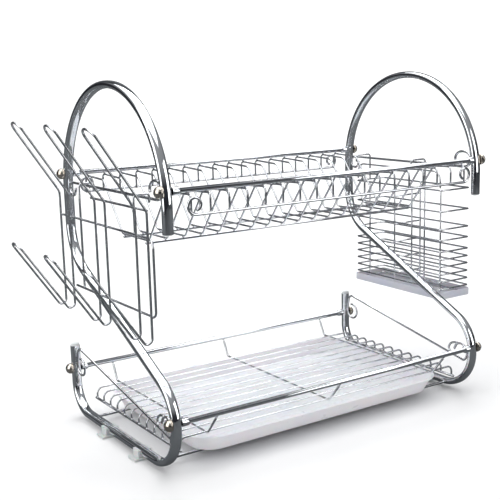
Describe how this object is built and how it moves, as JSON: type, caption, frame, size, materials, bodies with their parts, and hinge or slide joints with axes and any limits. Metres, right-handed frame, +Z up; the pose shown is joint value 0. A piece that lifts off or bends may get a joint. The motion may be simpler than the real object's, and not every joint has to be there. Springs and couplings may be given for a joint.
{
  "type": "dish drying rack",
  "caption": "Two-tier chrome wire dish rack on S-shaped tube ends, with a plate trough, cup holder, cutlery holder, lower basket and drip tray",
  "frame": {"origin": "middle of the footprint on the ground, under the four feet", "axes": "+X to the right end with the cutlery holder, -Y to the front, +Z up"},
  "size_m": [0.5452, 0.2514, 0.3851],
  "materials": {
    "chrome": "bright chrome plate on steel wire and tube",
    "dome_screw": "warm plated dome head",
    "milky_plastic": "translucent milky white moulding",
    "clear_plastic": "clear moulding with a faint lilac tint",
    "foot_plastic": "cloudy pale grey moulding"
  },
  "bodies": {
    "frame": {"side_frame_left": "chrome", "side_frame_right": "chrome", "foot_left_front": "foot_plastic", "foot_left_rear": "foot_plastic", "foot_right_front": "foot_plastic", "foot_right_rear": "foot_plastic", "dome_screw_upper_front_left": "dome_screw", "dome_screw_upper_front_right": "dome_screw", "dome_screw_upper_rear_left": "dome_screw", "dome_screw_upper_rear_right": "dome_screw", "dome_screw_lower_front_left": "dome_screw", "dome_screw_lower_front_right": "dome_screw", "dome_screw_lower_rear_left": "dome_screw", "dome_screw_lower_rear_right": "dome_screw", "upper_front_rod": "chrome", "upper_rear_rod": "chrome", "lower_front_rod": "chrome", "lower_rear_rod": "chrome", "scroll_rail_front": "chrome", "scroll_rail_rear": "chrome", "floor_rail_front": "chrome", "floor_rail_rear": "chrome", "end_rail_left": "chrome", "end_rail_right": "chrome", "plate_wire_01": "chrome", "plate_wire_02": "chrome", "plate_wire_03": "chrome", "plate_wire_04": "chrome", "plate_wire_05": "chrome", "plate_wire_06": "chrome", "plate_wire_07": "chrome", "plate_wire_08": "chrome", "plate_wire_09": "chrome", "plate_wire_10": "chrome", "plate_wire_11": "chrome", "plate_wire_12": "chrome", "plate_wire_13": "chrome", "plate_wire_14": "chrome", "plate_wire_15": "chrome", "plate_wire_16": "chrome", "plate_wire_17": "chrome", "plate_wire_18": "chrome", "lower_grille": "chrome", "lower_scroll_left": "chrome", "lower_scroll_right": "chrome", "tray_rest_front": "chrome", "tray_rest_rear": "chrome"},
    "drip_tray": {"drip_tray": "milky_plastic"},
    "cup_holder": {"cup_holder_frame": "chrome", "cup_loop_rear": "chrome", "cup_loop_middle": "chrome", "cup_loop_front": "chrome"},
    "cutlery_holder": {"cutlery_hanger": "chrome", "cutlery_inner_grille": "chrome", "cutlery_outer_grille": "chrome", "cutlery_front_grille": "chrome", "cutlery_rear_grille": "chrome", "cutlery_divider": "chrome"},
    "cutlery_tray": {"cutlery_tray": "clear_plastic"}
  },
  "joints": [
    {"name": "drip_tray_slide", "type": "slide", "parent": "frame", "child": "drip_tray", "axis": [0, -1, 0], "range_m": [0, 0.18]},
    {"name": "cup_holder_lift", "type": "slide", "parent": "frame", "child": "cup_holder", "axis": [0, 0, 1], "range_m": [0, 0.03]},
    {"name": "cutlery_holder_lift", "type": "slide", "parent": "frame", "child": "cutlery_holder", "axis": [0, 0, 1], "range_m": [0, 0.03]},
    {"name": "cutlery_tray_clip", "type": "slide", "parent": "cutlery_holder", "child": "cutlery_tray", "axis": [0, 0, -1], "range_m": [0, 0.03]}
  ]
}
